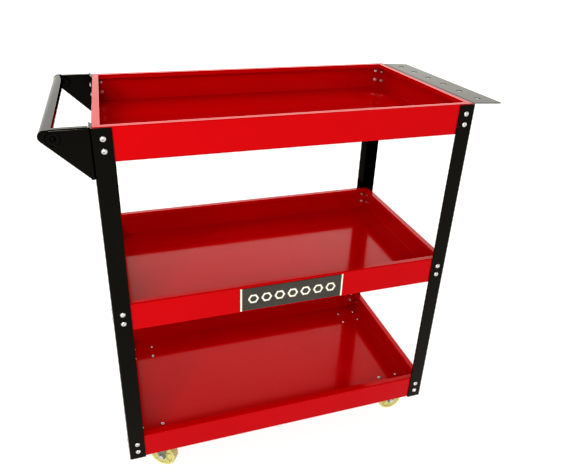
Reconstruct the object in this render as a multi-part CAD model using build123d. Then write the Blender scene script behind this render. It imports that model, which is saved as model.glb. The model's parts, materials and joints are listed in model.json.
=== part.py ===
from build123d import *
import math
import os

# Three-tier steel tool cart. Millimetres, +Z up, +X towards the tool holder, +Y towards the rear.
# The origin is on the floor, under the middle of the whole cart.

# ---------------------------------------------------------------- driving dimensions
FRAME_LENGTH = 700.0            # over the outer faces of the legs, along X
FRAME_WIDTH = 382.0             # over the outer faces of the legs, along Y
CASTER_HEIGHT = 82.0            # floor to the underside of the bottom tray
HANDLE_REACH = 77.0             # handle nose beyond the left legs
HOLDER_REACH = 65.0             # tool holder edge beyond the right legs

OVERALL_LENGTH = FRAME_LENGTH + HANDLE_REACH + HOLDER_REACH
X_LEFT = HANDLE_REACH - OVERALL_LENGTH / 2
X_RIGHT = X_LEFT + FRAME_LENGTH
X_MIDDLE = (X_LEFT + X_RIGHT) / 2
Y_FRONT = -FRAME_WIDTH / 2
Y_REAR = FRAME_WIDTH / 2

# Legs: folded steel angles.
LEG_THICKNESS = 2.0
LEG_FRONT_FLANGE = 33.0         # seen from the front
LEG_END_FLANGE = 30.0           # seen from the ends
LEG_HEIGHT = 741.0
LEG_INNER_BEND = 1.5

# Trays: folded sheet pans with an inward rim and a lip turned down under it.
TRAY_SHEET = 1.0
TRAY_DEPTH = 60.0
TRAY_LEVELS = {"bottom_tray": 0.0, "middle_tray": 340.0, "top_tray": 682.0}
TRAY_LENGTH = FRAME_LENGTH - 2 * LEG_THICKNESS
TRAY_WIDTH = FRAME_WIDTH - 2 * LEG_THICKNESS
TRAY_BEND = 2.5
RIM_WIDTH = 13.5
RIM_BEND = 2.0
LIP_DEPTH = 9.0
LIP_BEND = 0.8
MITRE_GROOVE_WIDTH = 0.5
MITRE_GROOVE_DEPTH = 0.35

# M6 bolts and nuts that hold the trays in the legs, and the caster axles.
BOLT_RADIUS = 3.0
BOLT_HOLE_RADIUS = 3.3
BOLT_LENGTH = 12.0
BOLT_HEAD_RADIUS = 5.3
BOLT_HEAD_HEIGHT = 3.4
NUT_FLATS = 10.0
NUT_HEIGHT = 5.0
BOLT_INSET = 18.0               # from a leg's outer corner to the bolt line
BOLT_LEVELS = (20.0, 41.0)      # above a tray's underside
THREAD_END_CHAMFER = 0.5
NUT_CORNER_CUT = 0.2            # flat left inside the chamfered corners of a hexagon
CROSS_WIDTH = 0.16              # cross recess, as shares of the head's radius and height
CROSS_DEPTH = 0.55

# M5 screws that hold the caster plates and the push handle.
SCREW_RADIUS = 2.5
SCREW_HOLE_RADIUS = 2.8
SCREW_LENGTH = 12.0
SCREW_HEAD_RADIUS = 4.7
SCREW_HEAD_HEIGHT = 3.0
SCREW_NUT_FLATS = 8.0
SCREW_NUT_HEIGHT = 4.0

# Push handle: two folded side brackets and a round tube.
BRACKET_SHEET = 2.0
BRACKET_TOP = 743.0             # above the legs' feet
BRACKET_FOOT = 655.0
BRACKET_BEND = 3.0
BRACKET_FLANGE = 30.0
TOP_FLANGE = 10.0
NOSE_RADIUS = 10.5
TUBE_RADIUS = 10.0
TUBE_WALL = 1.5
TUBE_OUT = HANDLE_REACH - NOSE_RADIUS
TUBE_LEVEL = BRACKET_TOP - NOSE_RADIUS
LUG_THICKNESS = 4.0
LUG_SCREW_OUT = 55.5
LUG_SCREW_LEVEL = 727.5
LUG_RADIUS = 8.0
DIMPLE_RADIUS = 12.0
DIMPLE_DEPTH = 1.2
TOP_FLANGE_GAP = 6.5            # from the tube's axis to the start of the top flange

# Tool holder: a folded shelf with a row of holes.
HOLDER_SHEET = 1.5
HOLDER_TOP = 741.5              # upper side of the fold, above the legs' feet
HOLDER_DROOP = 3.08             # degrees that the shelf slopes down, outwards
HOLDER_LENGTH = 366.0
HOLDER_FLANGE = 49.5
HOLDER_BEND = 3.0
HOLDER_CORNER = 4.0
TOOL_HOLES = 6
TOOL_HOLE_PITCH = 60.0
TOOL_HOLE_RADIUS = 6.0
TOOL_HOLE_OUT = 33.0            # along the shelf, from the legs' end faces

# Name plate on the middle tray's front.
PLATE_LENGTH = 218.0
PLATE_HEIGHT = 53.0
PLATE_THICKNESS = 0.8
PLATE_LEVEL = 30.0              # middle of the plate above the tray's underside
STRIP_WIDTH = 3.6
STRIP_PROUD = 0.2
STRIP_ROUNDING = 0.3

# Casters.
CASTER_INSET_LEFT = 53.0        # swivel axis from the left legs' outer face
CASTER_INSET_RIGHT = 48.0
CASTER_INSET_SIDE = 58.0
PLATE_X = 60.0
PLATE_Y = 50.0
PLATE_SHEET = 2.5
PLATE_CORNER = 6.0
HOLE_PITCH_X = 46.5
HOLE_PITCH_Y = 36.0
WHEEL_RADIUS = 30.0
WHEEL_WIDTH = 20.0
TREAD_ROUNDING = 3.0
RIM_DEPTH = 6.0                 # tread to the start of the dished side
DISH_DEPTH = 3.5
RIB_COUNT = 5
RIB_WIDTH = 2.6
HUB_WIDTH = 22.0
HUB_RADIUS = 10.0
DISH_START_RADIUS = 11.0
SLEEVE_RADIUS = 5.0
SLEEVE_BORE = 3.1
RUNNING_CLEARANCE = 0.05
TRAIL = 25.0
FORK_SHEET = 2.0
FORK_GAP = 23.0                 # between the fork legs, and the sleeve's length
FORK_TOP = 75.9                 # upper face of the swivel fork
FORK_HEAD_RADIUS = 20.0
FORK_TIP_RADIUS = 8.5
FORK_SHOULDER = 9.0             # upright part of the fork's side, below its top
SWIVEL_FORK_X = (-14.0, 15.0)   # back and front of the fork's top
SWIVEL_FORK_KNEES = (34.0, 58.0)    # where its back and front edges turn straight down
RIGID_FORK_X = (-18.0, 18.0)
RIGID_FORK_KNEES = (36.0, 36.0)
BALL_RADIUS = 2.5
BALL_CIRCLE = 13.0
BALL_COUNT = 16
RACE_CLEARANCE = 0.15
KINGPIN_RADIUS = 5.0
KINGPIN_HEAD_RADIUS = 8.5
KINGPIN_HEAD_HEIGHT = 4.0
KINGPIN_HEAD_ROUNDING = 1.5
KINGPIN_END_PLAY = 0.15
AXLE_HEAD_HEIGHT = 4.0
AXLE_NUT_HEIGHT = 6.0
AXLE_END = 1.5                  # thread past the axle nut
CASTER_YAW = {"front_left": -32.0, "rear_left": 18.0, "front_right": 0.0, "rear_right": 0.0}
BALL_LEVEL = (CASTER_HEIGHT - PLATE_SHEET + FORK_TOP) / 2
CASTER_CENTRES = {
    "front_left": (X_LEFT + CASTER_INSET_LEFT, Y_FRONT + CASTER_INSET_SIDE),
    "rear_left": (X_LEFT + CASTER_INSET_LEFT, Y_REAR - CASTER_INSET_SIDE),
    "front_right": (X_RIGHT - CASTER_INSET_RIGHT, Y_FRONT + CASTER_INSET_SIDE),
    "rear_right": (X_RIGHT - CASTER_INSET_RIGHT, Y_REAR - CASTER_INSET_SIDE),
}


# ---------------------------------------------------------------- helpers
def place(piece, point, outward):
    """Move a piece drawn about +Z to a point, with its +Z along the outward direction."""
    return Plane(origin=point, z_dir=outward).location * piece


def box(low, high):
    """A box between two corners."""
    size = [b - a for a, b in zip(low, high)]
    centre = [(a + b) / 2 for a, b in zip(low, high)]
    return Pos(*centre) * Box(*size)


def rounded_box(length, width, height, bend, top_bend=0.0):
    """A box standing on z = 0 with its upright and lower edges rounded."""
    body = Pos(0, 0, height / 2) * Box(length, width, height)
    body = fillet(body.edges().filter_by(Axis.Z), bend)
    body = fillet(body.faces().sort_by(Axis.Z)[0].edges(), bend)
    if top_bend:
        body = fillet(body.faces().sort_by(Axis.Z)[-1].edges(), top_bend)
    return body


def angle_section(along_x, along_y, thickness, outer_bend, inner_bend, slope=0.0):
    """An L section with its outer corner at the origin and its flanges along +X and +Y.

    The first flange may slope by some degrees from +X towards +Y.
    """
    rise = math.tan(math.radians(slope))
    depth = thickness / math.cos(math.radians(slope))
    tip_x = along_x - thickness * math.sin(math.radians(slope))
    inner_corner = (thickness, thickness * rise + depth)
    outline = [
        (0, 0),
        (along_x, along_x * rise),
        (tip_x, tip_x * rise + depth),
        inner_corner,
        (thickness, along_y),
        (0, along_y),
    ]
    section = make_face(Polyline(*outline, close=True))
    outer = section.vertices().sort_by_distance((0, 0, 0))[0]
    section = fillet(outer, outer_bend)
    inner = section.vertices().sort_by_distance((*inner_corner, 0))[0]
    return fillet(inner, inner_bend)


def hexagon(flats, height):
    """A hexagonal prism standing on z = 0, with its upper corners chamfered."""
    prism = extrude(RegularPolygon(radius=flats / 2, side_count=6, major_radius=False), height)
    corner_radius = flats / math.sqrt(3)
    cone_low = corner_radius + height * math.tan(math.radians(60))
    dome = Pos(0, 0, height / 2) * Cone(cone_low, flats / 2 - NUT_CORNER_CUT, height)
    return prism & dome


def cross_recess(width, reach, depth, top):
    """The cutter for a cross recess in a screw head whose crown is at the given height."""
    arm = Pos(0, 0, top - depth / 2) * Box(reach, width, depth)
    return arm + Rot(0, 0, 90) * arm


def round_head_bolt(shank_radius, length, head_radius, head_height):
    """A bolt with a domed cross-recess head above z = 0 and its shank below."""
    dome_radius = (head_radius ** 2 + head_height ** 2) / (2 * head_height)
    ball = Pos(0, 0, head_height - dome_radius) * Sphere(dome_radius)
    head = ball & Pos(0, 0, head_height / 2) * Cylinder(head_radius, head_height)
    recess_depth = head_height * CROSS_DEPTH
    head -= cross_recess(head_radius * CROSS_WIDTH, head_radius, recess_depth, head_height)
    shank = Pos(0, 0, -length / 2) * Cylinder(shank_radius, length)
    return head + chamfer(shank.edges().sort_by(Axis.Z)[0], THREAD_END_CHAMFER)


def nut(flats, height, bore):
    """A hexagon nut standing on z = 0."""
    return hexagon(flats, height) - Pos(0, 0, height / 2) * Cylinder(bore, height)


def holes(points, outward, radius, reach):
    """Cutters for round holes through the given points."""
    cutter = Cylinder(radius, reach)
    return [place(cutter, point, outward) for point in points]


def mirrored_y(piece):
    """The piece's mirror image on the other side of the cart's length."""
    return mirror(piece, about=Plane.XZ)


def plate_hole_offsets():
    """The caster plate's four holes, about the plate's centre."""
    return [(sx * HOLE_PITCH_X / 2, sy * HOLE_PITCH_Y / 2) for sx in (-1, 1) for sy in (-1, 1)]


PARTS = {}


def add(name, *solids):
    """Keep a node: one solid, or a group of separate solids."""
    PARTS[name] = solids[0] if len(solids) == 1 else Compound(children=list(solids))


# ---------------------------------------------------------------- bolts that hold trays and legs
BOLT = round_head_bolt(BOLT_RADIUS, BOLT_LENGTH, BOLT_HEAD_RADIUS, BOLT_HEAD_HEIGHT)
NUT = nut(NUT_FLATS, NUT_HEIGHT, BOLT_RADIUS)
SCREW = round_head_bolt(SCREW_RADIUS, SCREW_LENGTH, SCREW_HEAD_RADIUS, SCREW_HEAD_HEIGHT)
SCREW_NUT = nut(SCREW_NUT_FLATS, SCREW_NUT_HEIGHT, SCREW_RADIUS)


def leg_bolt_seats(level):
    """Bolt seats on the legs' outer faces at one tray: (point, outward direction)."""
    seats = []
    for height in BOLT_LEVELS:
        z = CASTER_HEIGHT + level + height
        for x, inward in ((X_LEFT, 1), (X_RIGHT, -1)):
            for y, outward in ((Y_FRONT, -1), (Y_REAR, 1)):
                seats.append(((x + inward * BOLT_INSET, y, z), (0, outward, 0)))
                seats.append(((x, y - outward * BOLT_INSET, z), (-inward, 0, 0)))
    return seats


def moved(point, direction, distance):
    """The point moved along a direction."""
    return tuple(p + d * distance for p, d in zip(point, direction))


def tray_fasteners(tray):
    """Bolts from outside and nuts inside, through the legs and the tray's walls."""
    bolts = []
    nuts = []
    for point, outward in leg_bolt_seats(TRAY_LEVELS[tray]):
        lift = 0.0
        if tray == "top_tray":
            lift = {-1: BRACKET_SHEET, 0: 0.0, 1: HOLDER_SHEET}[outward[0]]
        inward = tuple(-c for c in outward)
        bolts.append(place(BOLT, moved(point, outward, lift), outward))
        nuts.append(place(NUT, moved(point, inward, LEG_THICKNESS + TRAY_SHEET), inward))
    add(tray + "_bolts", *bolts)
    add(tray + "_nuts", *nuts)


# ---------------------------------------------------------------- legs
def leg(side_x, side_y):
    """A folded angle with its outer corner at a corner of the frame."""
    section = angle_section(
        LEG_FRONT_FLANGE, LEG_END_FLANGE, LEG_THICKNESS, LEG_THICKNESS + LEG_INNER_BEND, LEG_INNER_BEND
    )
    angle = Pos(X_LEFT, Y_FRONT, CASTER_HEIGHT) * extrude(section, LEG_HEIGHT)
    for level in TRAY_LEVELS.values():
        for point, outward in leg_bolt_seats(level):
            if point[0] < X_MIDDLE and point[1] < 0:
                angle -= holes([point], outward, BOLT_HOLE_RADIUS, 4 * LEG_THICKNESS)
    if side_x > 0:
        angle = mirror(angle, about=Plane(origin=(X_MIDDLE, 0, 0), z_dir=(1, 0, 0)))
    return mirrored_y(angle) if side_y > 0 else angle


# ---------------------------------------------------------------- trays
def tray(name):
    """A sheet pan: floor, four walls, an inward rim with mitred corners, and a lip under the rim."""
    outer = rounded_box(TRAY_LENGTH, TRAY_WIDTH, TRAY_DEPTH, TRAY_BEND, RIM_BEND)
    inner = rounded_box(
        TRAY_LENGTH - 2 * TRAY_SHEET,
        TRAY_WIDTH - 2 * TRAY_SHEET,
        TRAY_DEPTH - 2 * TRAY_SHEET,
        TRAY_BEND - TRAY_SHEET,
        RIM_BEND - TRAY_SHEET,
    )
    mouth_length = TRAY_LENGTH - 2 * RIM_WIDTH
    mouth_width = TRAY_WIDTH - 2 * RIM_WIDTH
    mouth = Pos(0, 0, TRAY_DEPTH) * Box(mouth_length, mouth_width, 2 * LIP_DEPTH)
    lip = Pos(0, 0, TRAY_DEPTH - TRAY_SHEET / 2 - LIP_DEPTH / 2) * (
        Box(mouth_length + 2 * TRAY_SHEET, mouth_width + 2 * TRAY_SHEET, LIP_DEPTH - TRAY_SHEET)
        - Box(mouth_length, mouth_width, LIP_DEPTH)
    )
    pan = outer - Pos(0, 0, TRAY_SHEET) * inner - mouth + lip
    rim_edges = pan.faces().sort_by(Axis.Z)[-1].inner_wires()[0].edges()
    pan = fillet(rim_edges, LIP_BEND)
    for sx in (-1, 1):
        for sy in (-1, 1):
            middle_x = sx * (TRAY_LENGTH - RIM_WIDTH) / 2
            middle_y = sy * (TRAY_WIDTH - RIM_WIDTH) / 2
            groove = Rot(0, 0, sx * sy * 45) * Box(
                2 * RIM_WIDTH, MITRE_GROOVE_WIDTH, 2 * MITRE_GROOVE_DEPTH
            )
            pan -= Pos(middle_x, middle_y, TRAY_DEPTH) * groove
    pan = Pos(X_MIDDLE, 0, CASTER_HEIGHT + TRAY_LEVELS[name]) * pan
    for point, outward in leg_bolt_seats(TRAY_LEVELS[name]):
        pan -= holes([point], outward, BOLT_HOLE_RADIUS, 4 * LEG_THICKNESS)
    if name == "bottom_tray":
        for centre in CASTER_CENTRES.values():
            for dx, dy in plate_hole_offsets():
                seat = (centre[0] + dx, centre[1] + dy, CASTER_HEIGHT)
                pan -= holes([seat], (0, 0, 1), SCREW_HOLE_RADIUS, 4 * TRAY_SHEET)
    return pan


# ---------------------------------------------------------------- push handle
def bracket_outline():
    """Side view of the bracket's web in the XZ plane: a triangle with a round nose."""
    x_nose = -TUBE_OUT
    lean = math.sqrt(0.5)
    x_tangent = x_nose - NOSE_RADIUS * lean
    z_tangent = TUBE_LEVEL - NOSE_RADIUS * lean
    x_foot = x_tangent + (z_tangent - BRACKET_FOOT)
    with BuildSketch(Plane.XZ) as outline:
        with BuildLine():
            Polyline((0, BRACKET_FOOT), (0, BRACKET_TOP), (x_nose, BRACKET_TOP))
            ThreePointArc(
                (x_nose, BRACKET_TOP),
                (x_nose - NOSE_RADIUS, TUBE_LEVEL),
                (x_tangent, z_tangent),
            )
            Polyline((x_tangent, z_tangent), (x_foot, BRACKET_FOOT), (0, BRACKET_FOOT))
        make_face()
    return outline.sketch


def handle_bracket():
    """The front bracket, about the front left leg's outer corner at the legs' foot level."""
    inner_bend = BRACKET_BEND - BRACKET_SHEET
    web = extrude(bracket_outline(), -BRACKET_SHEET)
    web -= box((-BRACKET_BEND, -1, BRACKET_FOOT - 1), (1, BRACKET_SHEET + 1, BRACKET_TOP + 1))
    corner = angle_section(2 * BRACKET_BEND, BRACKET_FLANGE, BRACKET_SHEET, BRACKET_BEND, inner_bend)
    corner = mirror(corner, about=Plane.YZ)
    bracket = web + Pos(0, 0, BRACKET_FOOT) * extrude(corner, BRACKET_TOP - BRACKET_FOOT)
    # The top flange runs from the nose to just short of the mounting flange.
    x_start = -TUBE_OUT + TOP_FLANGE_GAP
    flange_length = -BRACKET_BEND - x_start
    bracket -= box(
        (x_start, -1, BRACKET_TOP - BRACKET_BEND),
        (x_start + flange_length, BRACKET_SHEET + 1, BRACKET_TOP + 1),
    )
    fold = angle_section(TOP_FLANGE, 2 * BRACKET_BEND, BRACKET_SHEET, BRACKET_BEND, inner_bend)
    run = extrude(fold, flange_length)
    # Section X becomes +Y, section Y becomes -Z, and the run goes along +X.
    frame = Plane(origin=(x_start, 0, BRACKET_TOP), x_dir=(0, 1, 0), z_dir=(-1, 0, 0))
    bracket += frame.location * Pos(0, 0, -flange_length) * run
    # A shallow round dimple, pressed inwards, seats the handle screw.
    seat = (-LUG_SCREW_OUT, 0, LUG_SCREW_LEVEL)
    bulge = Pos(0, 0, DIMPLE_DEPTH / 2) * Cone(DIMPLE_RADIUS, DIMPLE_RADIUS - DIMPLE_DEPTH, DIMPLE_DEPTH)
    bracket += place(bulge, moved(seat, (0, 1, 0), BRACKET_SHEET), (0, 1, 0))
    bracket -= place(bulge, seat, (0, 1, 0))
    bracket -= holes([seat], (0, 1, 0), SCREW_HOLE_RADIUS, 4 * BRACKET_SHEET)
    bolt_line = [(0, BOLT_INSET, TRAY_LEVELS["top_tray"] + height) for height in BOLT_LEVELS]
    bracket -= holes(bolt_line, (1, 0, 0), BOLT_HOLE_RADIUS, 4 * BRACKET_SHEET)
    return Pos(X_LEFT, Y_FRONT, CASTER_HEIGHT) * bracket


def handle_parts():
    """Brackets, tube, the tapped lugs welded on the tube's ends, and the lugs' screws."""
    front = handle_bracket()
    add("handle_bracket_front", front)
    add("handle_bracket_rear", mirrored_y(front))

    x_tube = X_LEFT - TUBE_OUT
    z_tube = CASTER_HEIGHT + TUBE_LEVEL
    y_lug = Y_FRONT + BRACKET_SHEET + DIMPLE_DEPTH
    y_tube = y_lug + LUG_THICKNESS
    tube = Cylinder(TUBE_RADIUS, -2 * y_tube) - Cylinder(TUBE_RADIUS - TUBE_WALL, -2 * y_tube)
    add("handle_tube", place(tube, (x_tube, 0, z_tube), (0, 1, 0)))

    x_screw = X_LEFT - LUG_SCREW_OUT
    z_screw = CASTER_HEIGHT + LUG_SCREW_LEVEL
    discs = Sketch() + [
        Pos(x_tube, z_tube) * Circle(TUBE_RADIUS),
        Pos(x_screw, z_screw) * Circle(LUG_RADIUS),
    ]
    blank = extrude(make_hull(discs.edges()), LUG_THICKNESS)
    blank -= Pos(x_screw, z_screw, 0) * Cylinder(SCREW_RADIUS, 4 * LUG_THICKNESS)
    lug = Plane(origin=(0, y_tube, 0), x_dir=(1, 0, 0), z_dir=(0, -1, 0)).location * blank
    add("handle_lugs", lug, mirrored_y(lug))

    head_seat = (x_screw, Y_FRONT + DIMPLE_DEPTH, z_screw)
    length = BRACKET_SHEET + LUG_THICKNESS
    lug_screw = round_head_bolt(SCREW_RADIUS, length, SCREW_HEAD_RADIUS, SCREW_HEAD_HEIGHT)
    screw = place(lug_screw, head_seat, (0, -1, 0))
    add("handle_screws", screw, mirrored_y(screw))


# ---------------------------------------------------------------- tool holder
HOLDER_NORMAL = (math.sin(math.radians(HOLDER_DROOP)), 0, math.cos(math.radians(HOLDER_DROOP)))


def tool_hole_centres():
    """Centres of the tool holes on the holder's upper face."""
    first = -(TOOL_HOLES - 1) * TOOL_HOLE_PITCH / 2
    x = X_RIGHT + TOOL_HOLE_OUT
    z = CASTER_HEIGHT + HOLDER_TOP - TOOL_HOLE_OUT * math.tan(math.radians(HOLDER_DROOP))
    return [(x, first + i * TOOL_HOLE_PITCH, z) for i in range(TOOL_HOLES)]


def tool_holder():
    """A shelf folded out from a flange that is bolted on the right legs' end faces."""
    inner_bend = HOLDER_BEND - HOLDER_SHEET
    section = angle_section(
        HOLDER_REACH, HOLDER_FLANGE, HOLDER_SHEET, HOLDER_BEND, inner_bend, HOLDER_DROOP
    )
    # Section X becomes +X, section Y becomes -Z, and the run goes along -Y.
    run = Pos(0, 0, -HOLDER_LENGTH / 2) * extrude(section, HOLDER_LENGTH)
    frame = Plane(origin=(X_RIGHT, 0, CASTER_HEIGHT + HOLDER_TOP), x_dir=(1, 0, 0), z_dir=(0, 1, 0))
    shelf = frame.location * run
    sheet_edge = shelf.faces().sort_by(Axis.X)[-1]
    corners = [edge for edge in sheet_edge.edges() if edge.length < 2 * HOLDER_SHEET]
    shelf = fillet(corners, HOLDER_CORNER)
    shelf -= holes(tool_hole_centres(), HOLDER_NORMAL, TOOL_HOLE_RADIUS, 4 * HOLDER_SHEET)
    for point, outward in leg_bolt_seats(TRAY_LEVELS["top_tray"]):
        if outward == (1, 0, 0):
            shelf -= holes([point], outward, BOLT_HOLE_RADIUS, 4 * HOLDER_SHEET)
    return shelf


# ---------------------------------------------------------------- name plate
def name_plate_parts():
    """A blank plate on the middle tray's front, with a raised strip at each end."""
    y_wall = Y_FRONT + LEG_THICKNESS
    z = CASTER_HEIGHT + TRAY_LEVELS["middle_tray"] + PLATE_LEVEL
    inner_length = PLATE_LENGTH - 2 * STRIP_WIDTH
    blank = Box(inner_length, PLATE_THICKNESS, PLATE_HEIGHT)
    add("name_plate", Pos(X_MIDDLE, y_wall - PLATE_THICKNESS / 2, z) * blank)
    thickness = PLATE_THICKNESS + STRIP_PROUD
    strip = Box(STRIP_WIDTH, thickness, PLATE_HEIGHT)
    strip = fillet(strip.edges().filter_by(Axis.Z).group_by(Axis.Y)[0], STRIP_ROUNDING)
    reach = (PLATE_LENGTH - STRIP_WIDTH) / 2
    y_strip = y_wall - thickness / 2
    add("name_plate_strips", *[Pos(X_MIDDLE + side * reach, y_strip, z) * strip for side in (-1, 1)])


# ---------------------------------------------------------------- casters, drawn about their own axis
def wheel(x_axle):
    """A moulded wheel with a rounded tread, dished sides, ribs and a long hub."""
    body = Cylinder(WHEEL_RADIUS, WHEEL_WIDTH)
    body = fillet(body.edges(), TREAD_ROUNDING)
    ring = Cylinder(WHEEL_RADIUS - RIM_DEPTH, DISH_DEPTH) - Cylinder(DISH_START_RADIUS, DISH_DEPTH)
    rib = Pos(WHEEL_RADIUS / 2, 0, 0) * Box(WHEEL_RADIUS, RIB_WIDTH, DISH_DEPTH)
    for index in range(RIB_COUNT):
        ring -= Rot(0, 0, index * 360 / RIB_COUNT) * rib
    offset = (WHEEL_WIDTH - DISH_DEPTH) / 2
    body -= [Pos(0, 0, offset) * ring, Pos(0, 0, -offset) * ring]
    body += Cylinder(HUB_RADIUS, HUB_WIDTH)
    body -= Cylinder(SLEEVE_RADIUS + RUNNING_CLEARANCE, 2 * HUB_WIDTH)
    return place(body, (x_axle, 0, WHEEL_RADIUS), (0, 1, 0))


def axle_parts(x_axle):
    """The sleeve that the wheel runs on, and the bolt and nut that clamp it in the fork."""
    half = FORK_GAP / 2
    face = half + FORK_SHEET
    sleeve = Cylinder(SLEEVE_RADIUS, FORK_GAP) - Cylinder(SLEEVE_BORE, FORK_GAP)
    length = 2 * face + AXLE_NUT_HEIGHT + AXLE_END
    shank = Pos(0, 0, -length / 2) * Cylinder(BOLT_RADIUS, length)
    shank = chamfer(shank.edges().sort_by(Axis.Z)[0], THREAD_END_CHAMFER)
    bolt = shank + hexagon(NUT_FLATS, AXLE_HEAD_HEIGHT)
    lock_nut = nut(NUT_FLATS, AXLE_NUT_HEIGHT, BOLT_RADIUS)
    return {
        "axle_sleeve": place(sleeve, (x_axle, 0, WHEEL_RADIUS), (0, 1, 0)),
        "axle_bolt": place(bolt, (x_axle, -face, WHEEL_RADIUS), (0, -1, 0)),
        "axle_nut": place(lock_nut, (x_axle, face, WHEEL_RADIUS), (0, 1, 0)),
    }


def fork_legs(top, x_ends, knees, x_axle):
    """A channel of folded sheet whose sides taper down to round tips at the axle."""
    half = FORK_GAP / 2
    x_back, x_front = x_ends
    z_back, z_front = knees
    z_shoulder = top - FORK_SHOULDER
    tip_back = (x_axle - FORK_TIP_RADIUS, WHEEL_RADIUS)
    tip_front = (x_axle + FORK_TIP_RADIUS, WHEEL_RADIUS)
    with BuildSketch(Plane.XZ) as side:
        with BuildLine():
            Polyline(
                tip_back,
                (tip_back[0], z_back),
                (x_back, z_shoulder),
                (x_back, top),
                (x_front, top),
                (x_front, z_shoulder),
                (tip_front[0], z_front),
                tip_front,
            )
            ThreePointArc(tip_front, (x_axle, WHEEL_RADIUS - FORK_TIP_RADIUS), tip_back)
        make_face()
    channel = extrude(side.sketch, half + FORK_SHEET, both=True)
    bends = channel.faces().sort_by(Axis.Z)[-1].edges().filter_by(Axis.X)
    channel = fillet(bends, FORK_SHEET * 1.5)
    reach = 4 * WHEEL_RADIUS
    core = box((-reach, -half, -1), (reach, half, top - FORK_SHEET))
    core = fillet(core.faces().sort_by(Axis.Z)[-1].edges().filter_by(Axis.X), FORK_SHEET * 0.5)
    channel -= core
    axle_hole = place(Cylinder(SLEEVE_BORE, 4 * FORK_GAP), (x_axle, 0, WHEEL_RADIUS), (0, 1, 0))
    return channel - axle_hole


def race_groove():
    """The torus-shaped groove that the swivel balls run in."""
    return Pos(0, 0, BALL_LEVEL) * Torus(BALL_CIRCLE, BALL_RADIUS + RACE_CLEARANCE)


def caster_plate(with_race):
    """A flat mounting plate with four holes, and on a swivel caster the upper ball race."""
    plate = Pos(0, 0, CASTER_HEIGHT - PLATE_SHEET / 2) * Box(PLATE_X, PLATE_Y, PLATE_SHEET)
    plate = fillet(plate.edges().filter_by(Axis.Z), PLATE_CORNER)
    points = [(x, y, CASTER_HEIGHT) for x, y in plate_hole_offsets()]
    plate -= holes(points, (0, 0, 1), SCREW_HOLE_RADIUS, 4 * PLATE_SHEET)
    if with_race:
        plate -= race_groove()
        plate -= Cylinder(KINGPIN_RADIUS, 4 * CASTER_HEIGHT)
    return plate


def swivel_fork():
    """The turning fork: a round head with the lower ball race, and two raked legs."""
    fork = fork_legs(FORK_TOP, SWIVEL_FORK_X, SWIVEL_FORK_KNEES, TRAIL)
    fork += Pos(0, 0, FORK_TOP - FORK_SHEET / 2) * Cylinder(FORK_HEAD_RADIUS, FORK_SHEET)
    fork -= race_groove()
    fork -= Pos(0, 0, FORK_TOP) * Cylinder(KINGPIN_RADIUS + RUNNING_CLEARANCE, 4 * FORK_SHEET)
    return fork


def kingpin():
    """The rivet that holds the fork up to the plate, with its lower head under the fork."""
    head_top = FORK_TOP - FORK_SHEET - KINGPIN_END_PLAY
    shank_height = CASTER_HEIGHT - head_top
    shank = Pos(0, 0, head_top + shank_height / 2) * Cylinder(KINGPIN_RADIUS, shank_height)
    head = Cylinder(KINGPIN_HEAD_RADIUS, KINGPIN_HEAD_HEIGHT)
    head = fillet(head.edges().sort_by(Axis.Z)[0], KINGPIN_HEAD_ROUNDING)
    return shank + Pos(0, 0, head_top - KINGPIN_HEAD_HEIGHT / 2) * head


def balls():
    """The ring of bearing balls between the plate and the fork."""
    ball = Pos(BALL_CIRCLE, 0, BALL_LEVEL) * Sphere(BALL_RADIUS)
    return [Rot(0, 0, i * 360 / BALL_COUNT) * ball for i in range(BALL_COUNT)]


def caster_parts():
    """Two swivel casters under the handle end and two rigid ones under the other end."""
    floor_top = CASTER_HEIGHT + TRAY_SHEET
    plate_low = CASTER_HEIGHT - PLATE_SHEET
    seats = []
    for corner, (x, y) in CASTER_CENTRES.items():
        swivels = corner.endswith("left")
        fixed = Pos(x, y, 0)
        turned = fixed * Rot(0, 0, CASTER_YAW[corner])
        x_axle = TRAIL if swivels else 0.0
        add("caster_plate_" + corner, fixed * caster_plate(swivels))
        if swivels:
            add("fork_" + corner, turned * swivel_fork())
            add("kingpin_" + corner, fixed * kingpin())
            add("swivel_balls_" + corner, *[turned * ball for ball in balls()])
        else:
            fork = fork_legs(plate_low, RIGID_FORK_X, RIGID_FORK_KNEES, x_axle)
            add("fork_" + corner, fixed * fork)
        add("wheel_" + corner, turned * wheel(x_axle))
        for name, piece in axle_parts(x_axle).items():
            add(name + "_" + corner, turned * piece)
        seats += [(x + dx, y + dy) for dx, dy in plate_hole_offsets()]
    add("caster_screws", *[Pos(x, y, floor_top) * SCREW for x, y in seats])
    add("caster_screw_nuts", *[place(SCREW_NUT, (x, y, plate_low), (0, 0, -1)) for x, y in seats])


# ---------------------------------------------------------------- the whole cart
for tray_name in TRAY_LEVELS:
    add(tray_name, tray(tray_name))
    tray_fasteners(tray_name)
for x_name, x_side in (("left", -1), ("right", 1)):
    for y_name, y_side in (("front", -1), ("rear", 1)):
        add("leg_" + y_name + "_" + x_name, leg(x_side, y_side))
handle_parts()
add("tool_holder", tool_holder())
name_plate_parts()
caster_parts()

os.makedirs("parts", exist_ok=True)
for node, shape in PARTS.items():
    export_step(shape, "parts/" + node + ".step")
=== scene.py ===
import json
import math
import random
import bmesh
import bpy
from mathutils import Matrix, Vector


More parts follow.
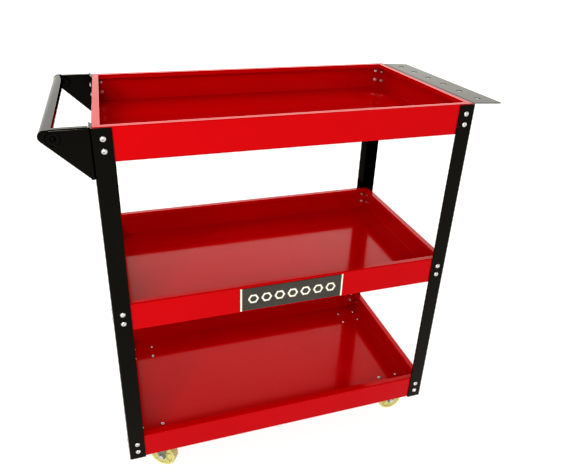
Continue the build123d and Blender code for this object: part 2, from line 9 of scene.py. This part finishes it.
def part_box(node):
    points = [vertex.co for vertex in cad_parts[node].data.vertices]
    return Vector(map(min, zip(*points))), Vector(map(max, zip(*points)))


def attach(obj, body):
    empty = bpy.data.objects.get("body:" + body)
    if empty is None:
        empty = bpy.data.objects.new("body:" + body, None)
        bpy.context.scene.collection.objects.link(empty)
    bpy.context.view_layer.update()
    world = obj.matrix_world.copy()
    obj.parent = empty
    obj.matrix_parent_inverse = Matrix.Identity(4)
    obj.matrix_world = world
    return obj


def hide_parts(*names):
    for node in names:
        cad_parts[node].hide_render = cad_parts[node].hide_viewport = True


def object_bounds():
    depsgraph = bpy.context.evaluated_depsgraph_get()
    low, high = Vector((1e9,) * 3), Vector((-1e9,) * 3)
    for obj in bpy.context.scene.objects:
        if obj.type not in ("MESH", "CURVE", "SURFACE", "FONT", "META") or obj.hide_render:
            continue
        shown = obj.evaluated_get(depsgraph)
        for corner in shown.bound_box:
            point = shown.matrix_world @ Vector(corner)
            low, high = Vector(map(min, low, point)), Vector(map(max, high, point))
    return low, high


# Looks of a three-tier steel tool cart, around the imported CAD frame. Metres, the frame's own axes.

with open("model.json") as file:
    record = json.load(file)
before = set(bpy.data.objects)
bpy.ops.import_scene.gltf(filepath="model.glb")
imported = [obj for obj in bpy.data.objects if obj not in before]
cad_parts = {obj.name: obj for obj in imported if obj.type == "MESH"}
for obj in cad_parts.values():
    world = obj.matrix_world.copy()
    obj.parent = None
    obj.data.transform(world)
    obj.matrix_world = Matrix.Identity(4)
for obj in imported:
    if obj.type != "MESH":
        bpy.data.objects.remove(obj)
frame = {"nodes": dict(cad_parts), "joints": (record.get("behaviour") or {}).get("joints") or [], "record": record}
cad_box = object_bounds()
nodes = frame["nodes"]
bodies = frame["record"]["behaviour"]["bodies"]
body_of_node = {name: body for body, names in bodies.items() for name in names}
MM = 0.001
TRAYS = ("top_tray", "middle_tray", "bottom_tray")
CORNERS = ("front_left", "rear_left", "front_right", "rear_right")


# ---------------------------------------------------------------- shader building
class Shader:
    """A procedural material: one principled shader, and short calls for the nodes that feed it."""

    def __init__(self, name, **sockets):
        self.material = bpy.data.materials.new(name)
        self.material.use_nodes = True
        self.tree = self.material.node_tree
        self.surface = self.tree.nodes["Principled BSDF"]
        self.place = self.tree.nodes.new("ShaderNodeTexCoord").outputs["Object"]
        for socket, value in sockets.items():
            self.surface.inputs[socket.replace("_", " ")].default_value = value

    def node(self, kind, links=None, **settings):
        """A new node with its properties set and its inputs linked or filled in."""
        made = self.tree.nodes.new("ShaderNode" + kind)
        for key, value in settings.items():
            setattr(made, key, value)
        for socket, value in (links or {}).items():
            if isinstance(value, bpy.types.NodeSocket):
                self.tree.links.new(value, made.inputs[socket])
            else:
                made.inputs[socket].default_value = value
        return made

    def feed(self, socket, source):
        """Link a source into the principled shader."""
        self.tree.links.new(source, self.surface.inputs[socket])

    def stretched(self, x, y, z):
        """Texture coordinates squeezed along some axes, for brushed or streaked patterns."""
        return self.node("Mapping", {"Vector": self.place, "Scale": (x, y, z)}).outputs[0]

    def noise(self, size, detail=2.0, place=None, seed=0.0):
        """Noise from 0 to 1 whose features are about the given size in metres."""
        links = {"Vector": place or self.place, "Scale": 0.5 / size, "Detail": detail, "W": seed}
        return self.node("TexNoise", links, noise_dimensions="4D").outputs["Fac"]

    def cells(self, size):
        """Distance to the nearest of scattered points, in cells of the given size in metres."""
        links = {"Vector": self.place, "Scale": 1.0 / size}
        return self.node("TexVoronoi", links).outputs["Distance"]

    def spread(self, source, low, high, start=0.0, end=1.0):
        """Map low..high to start..end, clamped."""
        links = {"Value": source, "From Min": low, "From Max": high, "To Min": start, "To Max": end}
        return self.node("MapRange", links, clamp=True).outputs[0]

    def calculate(self, operation, a, b):
        """One arithmetic step."""
        return self.node("Math", {0: a, 1: b}, operation=operation).outputs[0]

    def blend(self, share, first, second):
        """A colour between two colours."""
        made = self.node("Mix", data_type="RGBA")
        inputs = [made.inputs[0], made.inputs[6], made.inputs[7]]   # the factor and both colours
        for socket, value in zip(inputs, (share, first, second)):
            if isinstance(value, bpy.types.NodeSocket):
                self.tree.links.new(value, socket)
            else:
                socket.default_value = value
        return made.outputs[2]

    def cloudy(self, pattern, first, second):
        """Two colours mixed softly by a noise pattern."""
        return self.blend(self.spread(pattern, 0.3, 0.7), first, second)

    def worn_edges(self, radius, pattern, low=0.4, high=0.6):
        """1 along sharp edges, up to the given radius, where a noise pattern is high."""
        return self.calculate("MULTIPLY", self.edges(radius), self.spread(pattern, low, high))

    def bump(self, height, depth, normal=None):
        """A bump of the given depth in metres, over another bump if one is given."""
        links = {"Height": height, "Distance": depth, "Strength": 1.0}
        if normal is not None:
            links["Normal"] = normal
        return self.node("Bump", links).outputs["Normal"]

    def rounded(self, radius):
        """A normal that rounds off sharp edges by the given radius."""
        return self.node("Bevel", {"Radius": radius}, samples=6).outputs["Normal"]

    def edges(self, radius):
        """1 along sharp edges and 0 on open faces."""
        bent = self.rounded(radius)
        flat = self.node("NewGeometry").outputs["Normal"]
        likeness = self.node("VectorMath", {0: bent, 1: flat}, operation="DOT_PRODUCT")
        return self.spread(likeness.outputs["Value"], 0.995, 0.86)

    def upward(self):
        """1 on faces that look up, 0 on walls."""
        normal = self.node("NewGeometry").outputs["Normal"]
        height = self.node("SeparateXYZ", {0: normal}).outputs["Z"]
        return self.spread(height, 0.6, 0.95)


def colour(red, green, blue):
    """A linear colour with full alpha."""
    return (red, green, blue, 1.0)


# ---------------------------------------------------------------- materials
def powder_coat(name, main, deep, worn, roughness, gloss):
    """Gloss powder coat on sheet steel: orange peel, slight waves, dust, faint rubs, thin edges."""
    shader = Shader(name, Specular_IOR_Level=0.6, Specular_Tint=gloss)
    tone = shader.cloudy(shader.noise(0.09, 3.0), deep, main)
    rubs = shader.noise(0.004, 4.0, shader.stretched(1.0, 0.12, 1.0), seed=3.0)
    rub_mask = shader.spread(rubs, 0.62, 0.78)
    thin = shader.worn_edges(0.7 * MM, shader.noise(0.006, 4.0), 0.42, 0.62)
    tone = shader.blend(shader.calculate("MULTIPLY", thin, 0.6), tone, worn)
    specks = shader.spread(shader.cells(0.011), 0.045, 0.03)
    dust = shader.calculate("MULTIPLY", specks, shader.upward())
    tone = shader.blend(shader.calculate("MULTIPLY", dust, 0.25), tone, colour(0.6, 0.56, 0.52))
    shader.feed("Base Color", tone)
    haze = shader.spread(shader.noise(0.05, 5.0, seed=7.0), 0.35, 0.75, roughness, roughness * 1.7)
    haze = shader.calculate("ADD", haze, shader.calculate("MULTIPLY", rub_mask, 0.06))
    shader.feed("Roughness", shader.calculate("ADD", haze, shader.calculate("MULTIPLY", dust, 0.3)))
    wavy = shader.bump(shader.noise(0.07, 1.0, seed=11.0), 0.16 * MM, shader.rounded(0.45 * MM))
    peel = shader.bump(shader.noise(1.4 * MM, 2.0, seed=13.0), 0.005 * MM, wavy)
    shader.feed("Normal", peel)
    return shader.material


def bright_zinc(name, pale, dark, roughness):
    """Zinc plate on turned steel: soft cloudy tone, uneven dullness, fine grain, nicked edges."""
    shader = Shader(name, Metallic=1.0)
    tone = shader.cloudy(shader.noise(2.2 * MM, 4.0), dark, pale)
    nicks = shader.worn_edges(0.25 * MM, shader.noise(0.8 * MM))
    shader.feed("Base Color", shader.blend(nicks, tone, colour(0.9, 0.9, 0.88)))
    dullness = shader.noise(1.1 * MM, 3.0, seed=5.0)
    shader.feed("Roughness", shader.spread(dullness, 0.3, 0.7, roughness, roughness * 1.8))
    grain = shader.bump(shader.noise(0.25 * MM, 2.0), 0.004 * MM, shader.rounded(0.2 * MM))
    shader.feed("Normal", grain)
    return shader.material


def pressed_zinc():
    """Dull zinc plate on pressed sheet: rolling streaks, cloudy passivation and scuffed edges."""
    shader = Shader("pressed_zinc", Metallic=1.0)
    streaks = shader.noise(0.9 * MM, 3.0, shader.stretched(1.0, 1.0, 0.08))
    clouds = shader.noise(7 * MM, 4.0, seed=2.0)
    tone = shader.cloudy(clouds, colour(0.16, 0.17, 0.155), colour(0.33, 0.34, 0.31))
    tone = shader.blend(shader.spread(streaks, 0.45, 0.8, 0.0, 0.5), tone, colour(0.42, 0.42, 0.39))
    scuffs = shader.worn_edges(0.5 * MM, shader.noise(2 * MM))
    shader.feed("Base Color", shader.blend(scuffs, tone, colour(0.6, 0.6, 0.57)))
    shader.feed("Roughness", shader.spread(clouds, 0.3, 0.7, 0.3, 0.48))
    grain = shader.bump(streaks, 0.012 * MM, shader.rounded(0.35 * MM))
    shader.feed("Normal", grain)
    return shader.material


def wheel_nylon():
    """Moulded cream nylon: slight translucency, fine grain, and a soiled band where it rolls."""
    shader = Shader("wheel_nylon", Subsurface_Weight=0.25, Subsurface_Scale=4 * MM)
    shader.surface.inputs["Subsurface Radius"].default_value = (1.0, 0.8, 0.4)
    clouds = shader.noise(9 * MM, 4.0)
    tone = shader.cloudy(clouds, colour(0.6, 0.58, 0.22), colour(0.68, 0.66, 0.29))
    rolled = shader.node("Attribute", attribute_name="rolled").outputs["Fac"]
    grit = shader.spread(shader.noise(1.6 * MM, 5.0, seed=4.0), 0.4, 0.65)
    soil = shader.calculate("MULTIPLY", rolled, shader.spread(grit, 0.0, 1.0, 0.08, 0.42))
    shader.feed("Base Color", shader.blend(soil, tone, colour(0.26, 0.23, 0.12)))
    shader.feed("Roughness", shader.spread(soil, 0.0, 0.8, 0.3, 0.62))
    fine = shader.bump(shader.noise(0.5 * MM, 3.0), 0.02 * MM, shader.rounded(0.3 * MM))
    pits = shader.calculate("MULTIPLY", rolled, shader.spread(shader.cells(2.4 * MM), 0.3, 0.12))
    shader.feed("Normal", shader.bump(pits, -0.08 * MM, fine))
    return shader.material


def plate_face():
    """Slate satin print on a thin metal plate, finely brushed along its length."""
    shader = Shader("plate_face", Specular_IOR_Level=0.4)
    brush = shader.noise(0.35 * MM, 3.0, shader.stretched(0.03, 1.0, 1.0))
    patches = shader.noise(0.03, 3.0)
    tone = shader.cloudy(patches, colour(0.068, 0.063, 0.058), colour(0.085, 0.079, 0.073))
    tone = shader.blend(shader.spread(brush, 0.5, 0.9, 0.0, 0.35), tone, colour(0.095, 0.09, 0.084))
    shader.feed("Base Color", tone)
    shader.feed("Roughness", shader.spread(patches, 0.3, 0.7, 0.3, 0.42))
    shader.feed("Normal", shader.bump(brush, 0.006 * MM, shader.rounded(0.2 * MM)))
    return shader.material


def plate_white():
    """Raised ivory enamel with a slightly uneven surface."""
    shader = Shader("plate_white", Specular_IOR_Level=0.5)
    patches = shader.noise(5 * MM, 3.0)
    tone = shader.cloudy(patches, colour(0.72, 0.68, 0.58), colour(0.86, 0.83, 0.75))
    shader.feed("Base Color", tone)
    shader.feed("Roughness", shader.spread(patches, 0.3, 0.7, 0.2, 0.32))
    uneven = shader.bump(shader.noise(1.5 * MM, 3.0), 0.01 * MM, shader.rounded(0.2 * MM))
    shader.feed("Normal", uneven)
    return shader.material


MATERIALS = {
    "red_paint": powder_coat(
        "red_paint",
        main=colour(0.53, 0.0, 0.008),
        deep=colour(0.5, 0.0, 0.007),
        worn=colour(0.36, 0.003, 0.003),
        roughness=0.1,
        gloss=colour(1.0, 0.9, 0.9),
    ),
    "black_paint": powder_coat(
        "black_paint",
        main=colour(0.006, 0.006, 0.0055),
        deep=colour(0.004, 0.004, 0.004),
        worn=colour(0.03, 0.03, 0.028),
        roughness=0.13,
        gloss=colour(1.0, 0.97, 0.9),
    ),
    "zinc": bright_zinc(
        "zinc", pale=colour(0.84, 0.84, 0.83), dark=colour(0.58, 0.59, 0.60), roughness=0.2
    ),
    "black_zinc": bright_zinc(
        "black_zinc", pale=colour(0.06, 0.06, 0.06), dark=colour(0.02, 0.02, 0.02), roughness=0.25
    ),
    "bearing_steel": bright_zinc(
        "bearing_steel", pale=colour(0.7, 0.7, 0.7), dark=colour(0.55, 0.55, 0.56), roughness=0.12
    ),
    "pressed_zinc": pressed_zinc(),
    "wheel_nylon": wheel_nylon(),
    "plate_face": plate_face(),
    "plate_white": plate_white(),
}


def dress_cad_nodes():
    """Every carried-over CAD node gets the procedural material of its slot."""
    for row in frame["record"]["subparts"]:
        for holder in nodes[row["node"]].material_slots:
            holder.material = MATERIALS[row["material_slot"]]


# ---------------------------------------------------------------- mesh building
SHARP_ANGLE = math.radians(34)
SAME_POINT = 0.001 * MM


def loft(mesh, rings, place, loop=False):
    """Skin over rings of points; open ends are capped, a loop joins its last ring to its first."""
    made = [[mesh.verts.new(place @ Vector(point)) for point in ring] for ring in rings]
    following = made[1:] + made[:1] if loop else made[1:]
    count = len(made[0])
    for low, high in zip(made, following):
        for i in range(count):
            j = (i + 1) % count
            mesh.faces.new((low[i], low[j], high[j], high[i]))
    if not loop:
        mesh.faces.new(list(reversed(made[0])))
        mesh.faces.new(made[-1])


def circle(radius, z, count):
    """A ring of points about the Z axis."""
    turns = [2 * math.pi * i / count for i in range(count)]
    return [(radius * math.cos(turn), radius * math.sin(turn), z) for turn in turns]


def frame_at(point, direction, turn=0.0):
    """The matrix that puts a shape drawn about +Z at a point, with +Z along a direction."""
    aim = Vector(direction).to_track_quat("Z", "Y").to_matrix().to_4x4()
    return Matrix.Translation(point) @ aim @ Matrix.Rotation(turn, 4, "Z")


def keep_piece(name, mesh, slot, body, replaced=()):
    """Turn a finished mesh into a smooth-shaded object that rides on a body."""
    bmesh.ops.recalc_face_normals(mesh, faces=mesh.faces)
    data = bpy.data.meshes.new(name)
    mesh.to_mesh(data)
    mesh.free()
    data.shade_smooth()
    data.set_sharp_from_angle(angle=SHARP_ANGLE)
    data.materials.append(MATERIALS[slot])
    piece = bpy.data.objects.new(name, data)
    bpy.context.scene.collection.objects.link(piece)
    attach(piece, body)
    if replaced:
        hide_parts(*replaced)
    return piece


def islands(node):
    """The boxes of a CAD node's separate solids, as (low corner, high corner)."""
    mesh = bmesh.new()
    mesh.from_mesh(nodes[node].data)
    bmesh.ops.remove_doubles(mesh, verts=mesh.verts, dist=SAME_POINT)
    unseen = set(mesh.verts)
    boxes = []
    while unseen:
        front = [unseen.pop()]
        found = list(front)
        while front:
            near = {edge.other_vert(vert) for vert in front for edge in vert.link_edges} & unseen
            unseen -= near
            front = list(near)
            found += front
        low = Vector([min(vert.co[axis] for vert in found) for axis in range(3)])
        high = Vector([max(vert.co[axis] for vert in found) for axis in range(3)])
        boxes.append((low, high))
    mesh.free()
    return sorted(boxes, key=lambda box: [round(value, 4) for value in box[0]])


# ---------------------------------------------------------------- bolts and screws
HEAD_SEGMENTS = 48
HEAD_LIP = 0.06                 # upright part of the rim, of the head's height
RECESS_REACH = 0.5              # of the head's radius
RECESS_ARM = 0.105              # half an arm's width, of the head's radius
RECESS_DEPTH = 0.62             # of the head's height
RECESS_RADII = [0.06 * i for i in range(1, 10)]
RIM_RADII = [0.6, 0.68, 0.76, 0.84, 0.91, 0.96, 0.99]
THREAD_SEGMENTS = 20
THREAD_STEPS = 6                # rings for each turn of the thread
THREAD_DEPTH = 0.55             # of the pitch
PLAIN_SHARE = 0.4               # of the shank, next to the head
LEAD_IN_RINGS = 5
M6 = {"head_height": 3.4 * MM, "shank_radius": 3.0 * MM, "pitch": 1.0 * MM}
M5 = {"head_height": 3.0 * MM, "shank_radius": 2.5 * MM, "pitch": 0.8 * MM}


def recess(x, y, reach, arm, depth):
    """How far a tapered cross recess cuts in at a point of a screw head."""
    along = max(abs(x), abs(y))
    across = min(abs(x), abs(y))
    wall = min(max((arm * 1.25 - across) / (arm * 0.4), 0.0), 1.0)
    slope = min(max((reach - along) / (reach * 0.55), 0.0), 1.0)
    return depth * wall * slope


def domed_head(mesh, radius, height, place):
    """A full round head with its cross recess, standing on z = 0."""
    lip = circle(radius, HEAD_LIP * height, HEAD_SEGMENTS)
    rings = [circle(radius * 0.96, 0.0, HEAD_SEGMENTS), lip]
    for share in reversed(RECESS_RADII + RIM_RADII):
        ring = []
        for x, y, _ in circle(share * radius, 0.0, HEAD_SEGMENTS):
            crown = height * (HEAD_LIP + (1 - HEAD_LIP) * (1 - share ** 2.3) ** 0.56)
            cut = recess(x, y, RECESS_REACH * radius, RECESS_ARM * radius, RECESS_DEPTH * height)
            ring.append((x, y, crown - cut))
        rings.append(ring)
    loft(mesh, rings, place)


def threaded_shank(mesh, radius, length, pitch, place):
    """A shank below z = 0, plain near the head and then with a helical thread and a lead-in."""
    depth = THREAD_DEPTH * pitch
    plain = PLAIN_SHARE * length
    threaded = length - plain
    overlap = 0.3 * MM
    rings = [circle(radius, overlap, THREAD_SEGMENTS), circle(radius, -plain, THREAD_SEGMENTS)]
    steps = int(threaded / pitch * THREAD_STEPS)
    for step in range(1, steps + 1):
        z = -plain - threaded * step / steps
        fade = min(1.0, (steps - step) / LEAD_IN_RINGS + 0.25)
        ring = []
        for i, (x, y, _) in enumerate(circle(1.0, 0.0, THREAD_SEGMENTS)):
            phase = (z / pitch - i / THREAD_SEGMENTS) % 1.0
            cut = depth * abs(2 * phase - 1) + (1 - fade) * 0.8 * depth
            ring.append((x * (radius - cut), y * (radius - cut), z))
        rings.append(ring)
    loft(mesh, rings, place)


def finer_fasteners(node, slot, head_height, shank_radius, pitch, across=False):
    """Replace a CAD group of bolts with the same bolts, finely headed and threaded.

    Each lies along its longest side, or along Y if the group is said to lie across the cart.
    """
    dice = random.Random(node)
    middle = (cad_box[0] + cad_box[1]) / 2
    mesh = bmesh.new()
    for low, high in islands(node):
        size = high - low
        axis = 1 if across else max(range(3), key=lambda i: size[i])
        centre = (low + high) / 2
        outward = Vector((0, 0, 0))
        outward[axis] = 1.0 if axis == 2 or centre[axis] > middle[axis] else -1.0
        head_radius = size[(axis + 1) % 3] / 2
        seat = centre + outward * (size[axis] / 2 - head_height)
        place = frame_at(seat, outward, dice.uniform(0, math.pi))
        domed_head(mesh, head_radius, head_height, place)
        threaded_shank(mesh, shank_radius, size[axis] - head_height, pitch, place)
    keep_piece("fine_" + node, mesh, slot, body_of_node[node], (node,))


# ---------------------------------------------------------------- wheels
WHEEL_HALF_WIDTH = 10.0 * MM
WHEEL_SEGMENTS = 96
TREAD_CORNER = 3.0 * MM
RIM_DEPTH = 6.0 * MM
DISH_DEPTH = 3.5 * MM
HUB_HALF_WIDTH = 11.0 * MM
HUB_RADIUS = 10.0 * MM
HUB_BORE = 5.05 * MM
RIB_COUNT = 5
RIB_WIDTH = 2.6 * MM
RIB_OVERLAP = 0.5 * MM          # how far a rib's root is sunk in the dish
RIB_INSET = 0.3 * MM            # below the wheel's side
RIB_SECTION = ((1.0, 0.0), (0.86, 0.8), (0.8, 0.92), (0.66, 0.98), (0.3, 1.0))


def wheel_profile(radius):
    """Half of a wheel's section as (radius, height), from the tread's middle to the bore's."""
    shoulder = []
    for turn in [math.radians(15 * i) for i in range(7)]:
        reach = radius - TREAD_CORNER * (1 - math.cos(turn))
        shoulder.append((reach, WHEEL_HALF_WIDTH - TREAD_CORNER * (1 - math.sin(turn))))
    rim = radius - RIM_DEPTH
    floor = WHEEL_HALF_WIDTH - DISH_DEPTH
    return [
        (radius, 0.0),
        (radius, 0.35 * MM),
        (radius - 0.08 * MM, 0.5 * MM),
        (radius - 0.02 * MM, 0.45 * WHEEL_HALF_WIDTH),
        *shoulder,
        (rim + 1.2 * MM, WHEEL_HALF_WIDTH),
        (rim + 0.4 * MM, WHEEL_HALF_WIDTH - 0.25 * MM),
        (rim, WHEEL_HALF_WIDTH - 0.9 * MM),
        (rim - 0.5 * MM, floor + 1.0 * MM),
        (rim - 1.5 * MM, floor),
        (HUB_RADIUS + 2.0 * MM, floor),
        (HUB_RADIUS + 0.9 * MM, floor + 0.4 * MM),
        (HUB_RADIUS + 0.3 * MM, floor + 1.6 * MM),
        (HUB_RADIUS, HUB_HALF_WIDTH - 0.6 * MM),
        (HUB_RADIUS - 0.5 * MM, HUB_HALF_WIDTH),
        (HUB_BORE + 0.8 * MM, HUB_HALF_WIDTH),
        (HUB_BORE, HUB_HALF_WIDTH - 0.6 * MM),
        (HUB_BORE, 0.0),
    ]


def wheel_rib(mesh, radius, side, place):
    """A rib with drafted sides and a rounded back, across the dish on one side of a wheel."""
    floor = side * (WHEEL_HALF_WIDTH - DISH_DEPTH - RIB_OVERLAP)
    top = side * (WHEEL_HALF_WIDTH - RIB_INSET)
    half = [(share * RIB_WIDTH / 2, floor + lift * (top - floor)) for share, lift in RIB_SECTION]
    section = half + [(-y, z) for y, z in reversed(half)]
    inner = HUB_RADIUS - 1.0 * MM
    outer = radius - RIM_DEPTH + 0.8 * MM
    loft(mesh, [[(reach, y, z) for y, z in section] for reach in (inner, outer)], place)


def fine_wheel(corner):
    """A moulded wheel on its axle: mould line, rounded tread, dished ribbed sides, proud hub."""
    joint = next(row for row in frame["joints"] if row["name"] == "wheel_spin_" + corner)
    radius = joint["pos_m"][2]
    turn = random.Random(corner).uniform(0, math.pi)
    place = frame_at(joint["pos_m"], joint["axis"], turn)
    profile = wheel_profile(radius)
    section = profile + [(r, -z) for r, z in reversed(profile[1:-1])]
    mesh = bmesh.new()
    loft(mesh, [circle(r, z, WHEEL_SEGMENTS) for r, z in section], place, loop=True)
    for side in (1, -1):
        for index in range(RIB_COUNT):
            turned = place @ Matrix.Rotation(2 * math.pi * index / RIB_COUNT, 4, "Z")
            wheel_rib(mesh, radius, side, turned)
    node = "wheel_" + corner
    piece = keep_piece("fine_" + node, mesh, "wheel_nylon", body_of_node[node], (node,))
    rolled = piece.data.attributes.new("rolled", "FLOAT", "POINT")
    back = place.inverted()
    for index, vertex in enumerate(piece.data.vertices):
        reach = (back @ vertex.co).xy.length / radius
        rolled.data[index].value = min(max((reach - 0.93) / 0.06, 0.0), 1.0)


# ---------------------------------------------------------------- name plate and welds
MOTIF_COUNT = 7
MOTIF_SPAN = 0.78               # of the plate's length, between the outer hexagons' middles
MOTIF_RISE = 0.3 * MM
MOTIF_SECTION = ((11.4, -0.2), (11.4, 0.8), (11.1, 1.0), (7.5, 1.0), (7.2, 0.8), (7.2, -0.2))
BEAD_SIZE = 1.5 * MM
BEAD_STEPS = 60
BEAD_START = math.radians(-115)
BEAD_SWEEP = math.radians(160)


def plate_motif():
    """A plain row of raised hexagon outlines on the blank name plate."""
    low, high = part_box("name_plate")
    centre = (low + high) / 2
    mesh = bmesh.new()
    pitch = (high.x - low.x) * MOTIF_SPAN / (MOTIF_COUNT - 1)
    hexagons = [circle(r * MM, share * MOTIF_RISE, 6) for r, share in MOTIF_SECTION]
    for index in range(MOTIF_COUNT):
        spot = Vector((centre.x + (index - (MOTIF_COUNT - 1) / 2) * pitch, low.y, centre.z))
        loft(mesh, hexagons, frame_at(spot, (0, -1, 0)), loop=True)
    keep_piece("plate_motif", mesh, "plate_white", "cart")


def weld_bead(mesh, centre, radius, seed):
    """A rippled bead laid along an arc about a centre, in the XZ plane."""
    dice = random.Random(seed)
    rings = []
    for step in range(BEAD_STEPS + 1):
        share = step / BEAD_STEPS
        turn = BEAD_START + BEAD_SWEEP * share
        taper = min(1.0, 8 * share + 0.35, 8 * (1 - share) + 0.35)
        ripple = 1.0 + 0.12 * abs(math.sin(step * 1.1)) + dice.uniform(-0.03, 0.03)
        size = BEAD_SIZE * taper * ripple
        heading = Vector((math.cos(turn), 0, math.sin(turn)))
        spot = centre + heading * radius
        ring = []
        for x, y, _ in circle(size, 0.0, 12):
            ring.append(spot + heading * x + Vector((0, y, 0)))
        rings.append(ring)
    loft(mesh, rings, Matrix())


def handle_welds():
    """Beads between the push handle's tube and its lugs, on the side that faces the trays."""
    low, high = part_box("handle_tube")
    mesh = bmesh.new()
    radius = (high.z - low.z) / 2
    for seed, y in enumerate((low.y, high.y)):
        centre = Vector(((low.x + high.x) / 2, y, (low.z + high.z) / 2))
        weld_bead(mesh, centre, radius, seed)
    keep_piece("handle_welds", mesh, "black_paint", "cart")


# ---------------------------------------------------------------- room, lights and camera
FLOOR_REACH = 40.0
FLOOR_GLOW = 2.9
SKY_OVERHEAD = ("Y", -0.3, 0.7, 0.5, 1.5)       # axis, range of direction, range of strength
SKY_HORIZON = ("Z", 0.16, 0.42, 1.0, 0.0)       # the same, with the horizon's share
HORIZON_STRENGTH = 1.15
SKY_COLOUR = colour(1.0, 0.985, 0.93)
CAMERA_PLACE = (-0.30818, -1.01993, 1.0902)
CAMERA_TILT = (64.867, -1.446, -16.515)
FOCAL_LENGTH = 33.187
CAMERA_SHIFT = (0.0339, -0.0781)
TONE_POINTS = (
    (0.03, 0.002),
    (0.055, 0.0058),
    (0.075, 0.016),
    (0.11, 0.05),
    (0.17, 0.12),
    (0.25, 0.22),
    (0.32, 0.25),
    (0.42, 0.36),
    (0.6, 0.58),
    (0.72, 0.76),
    (0.85, 1.0),
)


def pale_floor():
    """A wide plain floor in pale grey, lifted to white by a glow of its own."""
    shader = Shader("floor", Roughness=0.6, Specular_IOR_Level=0.2)
    patches = shader.noise(0.8, 3.0)
    tone = shader.blend(patches, colour(0.242, 0.242, 0.241), colour(0.252, 0.252, 0.251))
    shader.feed("Base Color", tone)
    shader.feed("Emission Color", tone)
    shader.surface.inputs["Emission Strength"].default_value = FLOOR_GLOW
    mesh = bpy.data.meshes.new("floor")
    signs = ((-1, -1), (1, -1), (1, 1), (-1, 1))
    corners = [(x * FLOOR_REACH, y * FLOOR_REACH, 0) for x, y in signs]
    mesh.from_pydata(corners, [], [(0, 1, 2, 3)])
    mesh.materials.append(shader.material)
    floor = bpy.data.objects.new("floor", mesh)
    bpy.context.scene.collection.objects.link(floor)


def soft_box(name, place, size, power):
    """A square area light that looks at the middle of the cart."""
    low, high = cad_box
    lamp = bpy.data.lights.new(name, "AREA")
    lamp.size = size
    lamp.energy = power
    holder = bpy.data.objects.new(name, lamp)
    holder.location = place
    holder.rotation_euler = ((low + high) / 2 - Vector(place)).to_track_quat("-Z", "Y").to_euler()
    bpy.context.scene.collection.objects.link(holder)


def studio_sky():
    """White surroundings: bright all round the horizon, dimmer overhead on the front's side."""
    world = bpy.data.worlds.new("studio")
    world.use_nodes = True
    tree = world.node_tree
    direction = tree.nodes.new("ShaderNodeTexCoord").outputs["Generated"]
    parts = tree.nodes.new("ShaderNodeSeparateXYZ")
    tree.links.new(direction, parts.inputs[0])
    fades = []
    for axis, low, high, start, end in (SKY_OVERHEAD, SKY_HORIZON):
        fade = tree.nodes.new("ShaderNodeMapRange")
        fade.inputs["From Min"].default_value = low
        fade.inputs["From Max"].default_value = high
        fade.inputs["To Min"].default_value = start
        fade.inputs["To Max"].default_value = end
        tree.links.new(parts.outputs[axis], fade.inputs["Value"])
        fades.append(fade.outputs[0])
    strength = tree.nodes.new("ShaderNodeMix")
    strength.inputs["B"].default_value = HORIZON_STRENGTH
    tree.links.new(fades[0], strength.inputs["A"])
    tree.links.new(fades[1], strength.inputs["Factor"])
    tree.links.new(strength.outputs[0], tree.nodes["Background"].inputs["Strength"])
    tree.nodes["Background"].inputs["Color"].default_value = SKY_COLOUR
    bpy.context.scene.world = world


def camera():
    """The viewpoint: a little above the top tray, in front of the handle end."""
    lens = bpy.data.cameras.new("camera")
    lens.sensor_width = 36.0
    lens.lens = FOCAL_LENGTH
    lens.shift_x, lens.shift_y = CAMERA_SHIFT
    lens.clip_end = 200.0
    holder = bpy.data.objects.new("camera", lens)
    holder.location = CAMERA_PLACE
    holder.rotation_euler = [math.radians(angle) for angle in CAMERA_TILT]
    bpy.context.scene.collection.objects.link(holder)
    bpy.context.scene.camera = holder


def tone_curve():
    """Plain sRGB with the darkest tones pulled down to black, as in a studio picture."""
    settings = bpy.context.scene.view_settings
    settings.view_transform = "Standard"
    settings.use_curve_mapping = True
    settings.curve_mapping.extend = "HORIZONTAL"
    curve = settings.curve_mapping.curves[3]    # the one for all colours together
    for seen, shown in TONE_POINTS:
        curve.points.new(seen, shown)
    settings.curve_mapping.update()


dress_cad_nodes()
for tray in TRAYS:
    finer_fasteners(tray + "_bolts", "zinc", **M6)
finer_fasteners("caster_screws", "zinc", **M5)
finer_fasteners("handle_screws", "black_zinc", **M5, across=True)
for corner in CORNERS:
    fine_wheel(corner)
plate_motif()
handle_welds()
pale_floor()
studio_sky()
soft_box("key_light", (-1.0, -1.9, 1.75), size=1.0, power=27.0)
soft_box("fill_light", (1.8, -2.6, 1.4), size=1.6, power=4.0)
camera()
tone_curve()
